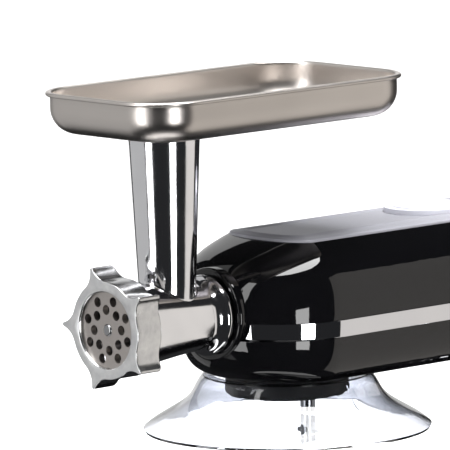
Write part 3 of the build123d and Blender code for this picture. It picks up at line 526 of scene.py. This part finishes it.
nut_rings = [nut_ring(circle_like(NUT_RADIUS - THREAD_WALL), SEAT_DEPTH)]
for opened, depth in ((0, SEAT_DEPTH), (0, 1.3), (0.1, 1.0), (0.4, 0.5), (0.6, 0.2)):
    nut_rings.append(nut_ring(circle_like(NUT_OPENING + opened), depth))
face_inner = circle_like(NUT_OPENING + 0.9)
face_outer = drawn_in(nut_outline, FACE_EDGE)
nut_rings.append(nut_ring(face_inner, 0.0))
nut_rings += [nut_ring(blend_outlines(face_inner, face_outer, share), 0.0) for share in (0.35, 0.7, 1.0)]
for k in range(1, 7):
    turn = math.pi / 2 * k / 6
    nut_rings.append(nut_ring(drawn_in(nut_outline, FACE_EDGE * (1 - math.sin(turn))),
                              FACE_EDGE * (1 - math.cos(turn))))
nut_rings += [nut_ring(nut_outline, depth) for depth in (4, 7, LUG_END - LUG_ROUND)]
for k in range(1, 9):
    turn = math.pi / 2 * k / 8
    nut_rings.append(nut_ring(blend_outlines(body_outline, nut_outline, math.cos(turn) ** 0.5),
                              LUG_END - LUG_ROUND * (1 - math.sin(turn))))
nut_rings.append(nut_ring(body_outline, nut_length - 1.0))
for drawn, lift in ((0.3, 0.3), (1, 0), (THREAD_WALL, 0)):
    nut_rings.append(nut_ring(circle_like(NUT_RADIUS - drawn), nut_length - lift))
nut_rings.append(nut_rings[0])
# Tumbled and part-buffed aluminium: the face is satin and even, the flanks show soft grey streaks.
satin_nut, tree, shader, place = start_material("satin_nut", "#E0E0DF", 1.0, 0.3)
facing = add(tree, "TexCoord")
forward = add(tree, "VectorMath", {"operation": "DOT_PRODUCT", 1: (0.0, -1.0, 0.0)},
              {0: facing.outputs["Normal"]})
clouds = add(tree, "TexNoise", {"Scale": 1 / (7 * MM), "Detail": 4.0}, {"Vector": place})
tones = add(tree, "Mix", {"data_type": "RGBA", 6: linear("#B9BABD"), 7: linear("#EEEEED")},
            {0: clouds.outputs["Fac"]})
tree.links.new(tones.outputs[2], shader.inputs["Base Color"])
dull = add(tree, "MapRange", {"From Min": 0.8, "From Max": 1.0, "To Min": 0.24, "To Max": 0.45},
           {"Value": forward.outputs["Value"]})
cloudy = add(tree, "Math", {"operation": "MULTIPLY_ADD", 1: 0.12, 2: -0.06}, {0: clouds.outputs["Fac"]})
total = add(tree, "Math", {"operation": "ADD"}, {0: dull.outputs["Result"], 1: cloudy.outputs["Value"]})
tree.links.new(total.outputs["Value"], shader.inputs["Roughness"])
pebble = add(tree, "TexNoise", {"Scale": 1 / (1.4 * MM), "Detail": 3.0}, {"Vector": place})
relief(tree, shader, pebble.outputs["Fac"], 0.03)
skin("five_lug_ring_nut", nut_rings, satin_nut, "nut", "cast_aluminium", "ring_nut")


# ---- Food tray ----
# A deep-drawn tray of 1.2 mm stainless sheet with its edge rolled outwards, and a short
# welded tube that drops into the top of the feed neck. It lifts straight off.
tray_low, tray_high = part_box("food_tray")
tray_middle = Vector(((tray_low.x + tray_high.x) / 2, (tray_low.y + tray_high.y) / 2, 0))
TRAY_CORNER = 34.6
TRAY_BEND = 17.0
TRAY_SHEET = 1.2
TRAY_DEPTH = 28.0
TRAY_EDGE = 3.0          # from the rolled edge's outside to the outside of the wall
WALL_TOP = 7             # below the rim, where the wall meets the roll
CORNER_STEPS = 26
SIDE_POINTS = 10
TUBE_ROUND = 2.0         # where the floor turns down into the tube
WELD = 1.0               # fillet of the weld under the floor
NECK_BEHIND_FACE = 55.1
TUBE_OUTSIDE = 19.9
TUBE_INSIDE = 18.9
neck_place = Vector((nut_front.x, nut_front.y + NECK_BEHIND_FACE * MM, 0))
half_x = (tray_high.x - tray_low.x) / 2 / MM
half_y = (tray_high.y - tray_low.y) / 2 / MM


def tray_ring(inset, height):
    """A line round the tray, a distance in from its outer edge."""
    corner = max(TRAY_CORNER - inset, 0.5)
    wide, long = half_x - inset - corner, half_y - inset - corner
    points = []
    for quarter, (cx, cy) in enumerate(((wide, long), (-wide, long), (-wide, -long), (wide, -long))):
        for k in range(CORNER_STEPS + 1):
            turn = math.pi / 2 * (quarter + k / CORNER_STEPS)
            points.append((cx + corner * math.cos(turn), cy + corner * math.sin(turn)))
        nx, ny = ((-wide, long), (-wide, -long), (wide, -long), (wide, long))[quarter]
        last_x, last_y = points[-1]
        turn = math.pi / 2 * (quarter + 1)
        end_x, end_y = nx + corner * math.cos(turn), ny + corner * math.sin(turn)
        for k in range(1, SIDE_POINTS):
            along = k / SIDE_POINTS
            points.append((last_x + (end_x - last_x) * along, last_y + (end_y - last_y) * along))
    return [tray_middle + Vector((x * MM, y * MM, height)) for x, y in points]


def tube_ring(radius, height, like):
    """A line round the tube, with its points in line with those of the tray's floor."""
    ring = []
    for point in like:
        out = Vector((point.x - neck_place.x, point.y - neck_place.y, 0)).normalized()
        ring.append(Vector((neck_place.x, neck_place.y, height)) + out * radius * MM)
    return ring


rim = tray_high.z
under = rim - TRAY_DEPTH * MM
# Section of the rolled edge: distance in from the outside, and height over the rim.
lip = [(TRAY_EDGE + TRAY_SHEET, -2.2), (4.1, -1.2), (3.7, -0.5), (3.1, -0.12), (2.4, 0.0), (1.5, -0.08),
       (0.75, -0.4), (0.25, -0.95), (0.0, -1.6), (0.15, -2.25), (0.6, -2.7), (1.15, -2.8), (1.6, -2.5),
       (2.2, -2.0), (2.7, -2.1), (TRAY_EDGE, -2.8)]
tray_rings = []
inside_floor = under + TRAY_SHEET * MM
floor_inset = TRAY_EDGE + TRAY_BEND
floor_line = tray_ring(floor_inset, inside_floor)
tray_rings.append(tube_ring(TUBE_INSIDE, tray_low.z, floor_line))
tray_rings.append(tube_ring(TUBE_INSIDE, inside_floor - TUBE_ROUND * MM, floor_line))
for k in range(1, 7):
    turn = math.pi / 2 * k / 6
    tray_rings.append(tube_ring(TUBE_INSIDE + TUBE_ROUND * (1 - math.cos(turn)),
                                inside_floor - TUBE_ROUND * (1 - math.sin(turn)) * MM, floor_line))
tray_rings.append(floor_line)
bend = TRAY_BEND - TRAY_SHEET
for k in range(1, 13):
    turn = math.pi / 2 * k / 12
    tray_rings.append(tray_ring(floor_inset - bend * math.sin(turn),
                                inside_floor + bend * (1 - math.cos(turn)) * MM))
tray_rings.append(tray_ring(TRAY_EDGE + TRAY_SHEET, rim - WALL_TOP * MM))
tray_rings += [tray_ring(inset, rim + drop * MM) for inset, drop in lip]
tray_rings.append(tray_ring(TRAY_EDGE, rim - WALL_TOP * MM))
for k in range(13):
    turn = math.pi / 2 * (1 - k / 12)
    tray_rings.append(tray_ring(floor_inset - TRAY_BEND * math.sin(turn),
                                under + TRAY_BEND * (1 - math.cos(turn)) * MM))
outer_line = tray_ring(floor_inset, under)
tray_rings.append(tube_ring(TUBE_OUTSIDE + WELD, under, outer_line))
tray_rings.append(tube_ring(TUBE_OUTSIDE, under - WELD * MM, outer_line))
tray_rings.append(tube_ring(TUBE_OUTSIDE, tray_low.z, outer_line))
tray_rings.append(tray_rings[0])
# Brushed stainless steel: warm grey, satin, with fine lines along the sides.
brushed_stainless, tree, shader, place = start_material("brushed_stainless", "#CFC8C2", 1.0, 0.33)
uneven(tree, shader, place, 60, "#D1CBC6", "#C9C3BE", 0.30, 0.36)
drawn = add(tree, "Mapping", {"Scale": (0.06, 0.06, 1.0)}, {"Vector": place})
# Brushing lines are about 0.1 mm apart; they are drawn at 0.4 mm so that a trace of them shows.
lines = add(tree, "TexNoise", {"Scale": 1 / (0.4 * MM), "Detail": 2.0}, {"Vector": drawn.outputs["Vector"]})
relief(tree, shader, lines.outputs["Fac"], 0.012)
skin("drawn_food_tray", tray_rings, brushed_stainless, "tray", "stainless", "food_tray", sharp=50)


# ---- Floor and light ----
# A plain pale floor, and large soft boxes of a product studio round the machine: tall ones
# at the sides, one overhead, a glow from below, and grey walls at the left and behind. They
# show only as reflections.
PANEL_DISTANCE = 3.0     # metres
PANEL_ROWS, PANEL_COLUMNS = 8, 16


def soft_box(name, around, up, strength, tint="#FFFFFF"):
    """A curved light panel; around and up are its spans in degrees, seen from the machine."""
    centre = Vector((0, 0, axis_height))
    rows = []
    for i in range(PANEL_ROWS + 1):
        tilt = math.radians(up[0] + (up[1] - up[0]) * i / PANEL_ROWS)
        row = []
        for j in range(PANEL_COLUMNS + 1):
            turn = math.radians(around[0] + (around[1] - around[0]) * j / PANEL_COLUMNS)
            row.append(centre + PANEL_DISTANCE * Vector((math.cos(turn) * math.cos(tilt),
                                                         math.sin(turn) * math.cos(tilt), math.sin(tilt))))
        rows.append(row)
    mesh = bpy.data.meshes.new(name)
    stride = PANEL_COLUMNS + 1
    mesh.from_pydata([tuple(p) for row in rows for p in row], [],
                     [(i * stride + j, i * stride + j + 1, (i + 1) * stride + j + 1, (i + 1) * stride + j)
                      for i in range(PANEL_ROWS) for j in range(PANEL_COLUMNS)])
    glow = bpy.data.materials.new(name + "_glow")
    glow.use_nodes = True
    tree = glow.node_tree
    tree.nodes.clear()
    light = add(tree, "Emission", {"Color": linear(tint), "Strength": strength})
    add(tree, "OutputMaterial", links={"Surface": light.outputs["Emission"]})
    mesh.materials.append(glow)
    panel = bpy.data.objects.new(name, mesh)
    bpy.context.scene.collection.objects.link(panel)
    panel.visible_camera = False
    panel.visible_transmission = False
    panel.visible_shadow = False


soft_box("front_left_box", (-103, -84.5), (-25, 60), 5.0)
soft_box("right_strip_box", (-25, -8), (-20, 2), 9.0)
soft_box("right_reflector", (29, 75), (-50, 28), 0.84, "#FFFAF4")
soft_box("overhead_box", (-150, 150), (62, 84), 14.0)
soft_box("left_wall", (-182, -108), (-40, 50), 0.55)
soft_box("back_wall", (122, 165), (-15, 30), 0.9)
soft_box("table_glow", (-180, 180), (-86, -68), 2.2)

FLOOR_HALF = 30.0        # metres
FLOOR_GAP = 0.2          # millimetres under the feet
floor_mesh = bpy.data.meshes.new("floor")
floor_mesh.from_pydata([(-FLOOR_HALF, -FLOOR_HALF, 0), (FLOOR_HALF, -FLOOR_HALF, 0),
                        (FLOOR_HALF, FLOOR_HALF, 0), (-FLOOR_HALF, FLOOR_HALF, 0)], [], [(0, 1, 2, 3)])
floor = bpy.data.objects.new("floor", floor_mesh)
bpy.context.scene.collection.objects.link(floor)
floor.location.z = -FLOOR_GAP * MM
floor.visible_glossy = False
# Seamless paper: a plain off-white, quite dull.
seamless_paper, tree, shader, place = start_material("seamless_paper", "#FBFBFB", 0.0, 0.9)
fibres = add(tree, "TexNoise", {"Scale": 1 / (2 * MM)}, {"Vector": place})
relief(tree, shader, fibres.outputs["Fac"], 0.05)
floor_mesh.materials.append(seamless_paper)

# The room is white to the camera and nearly black to reflections, so the panels stand out.
world = bpy.data.worlds.new("studio")
bpy.context.scene.world = world
world.use_nodes = True
sky = world.node_tree
ray = add(sky, "LightPath")
lit = add(sky, "Math", {"operation": "MAXIMUM"},
          {0: ray.outputs["Is Glossy Ray"], 1: ray.outputs["Is Transmission Ray"]})
tones = add(sky, "Mix", {"data_type": "RGBA", 6: (1.0, 1.0, 1.0, 1.0), 7: (0.022, 0.0225, 0.024, 1.0)},
            {0: lit.outputs["Value"]})
sky.links.new(tones.outputs[2], sky.nodes["Background"].inputs["Color"])
bpy.context.scene.view_settings.view_transform = "Standard"


# ---- Camera ----
# A long lens a little above the barrel, in front of the machine and to its right.
CAMERA_TURN, CAMERA_RISE, CAMERA_ROLL = 47.72, 7.88, -1.15
CAMERA_DISTANCE = 4.516  # metres
CAMERA_LENS = 557.0      # millimetres
turn = (Matrix.Rotation(math.radians(CAMERA_TURN), 4, "Z")
        @ Matrix.Rotation(math.radians(90 - CAMERA_RISE), 4, "X")
        @ Matrix.Rotation(math.radians(CAMERA_ROLL), 4, "Z"))
aim = Vector((0.0466, nut_low.y + 0.0649, axis_height + 0.0664))
camera = bpy.data.objects.new("camera", bpy.data.cameras.new("camera"))
bpy.context.scene.collection.objects.link(camera)
camera.matrix_world = Matrix.Translation(aim + turn.to_3x3() @ Vector((0, 0, CAMERA_DISTANCE))) @ turn
camera.data.lens = CAMERA_LENS
camera.data.clip_end = 100
bpy.context.scene.camera = camera
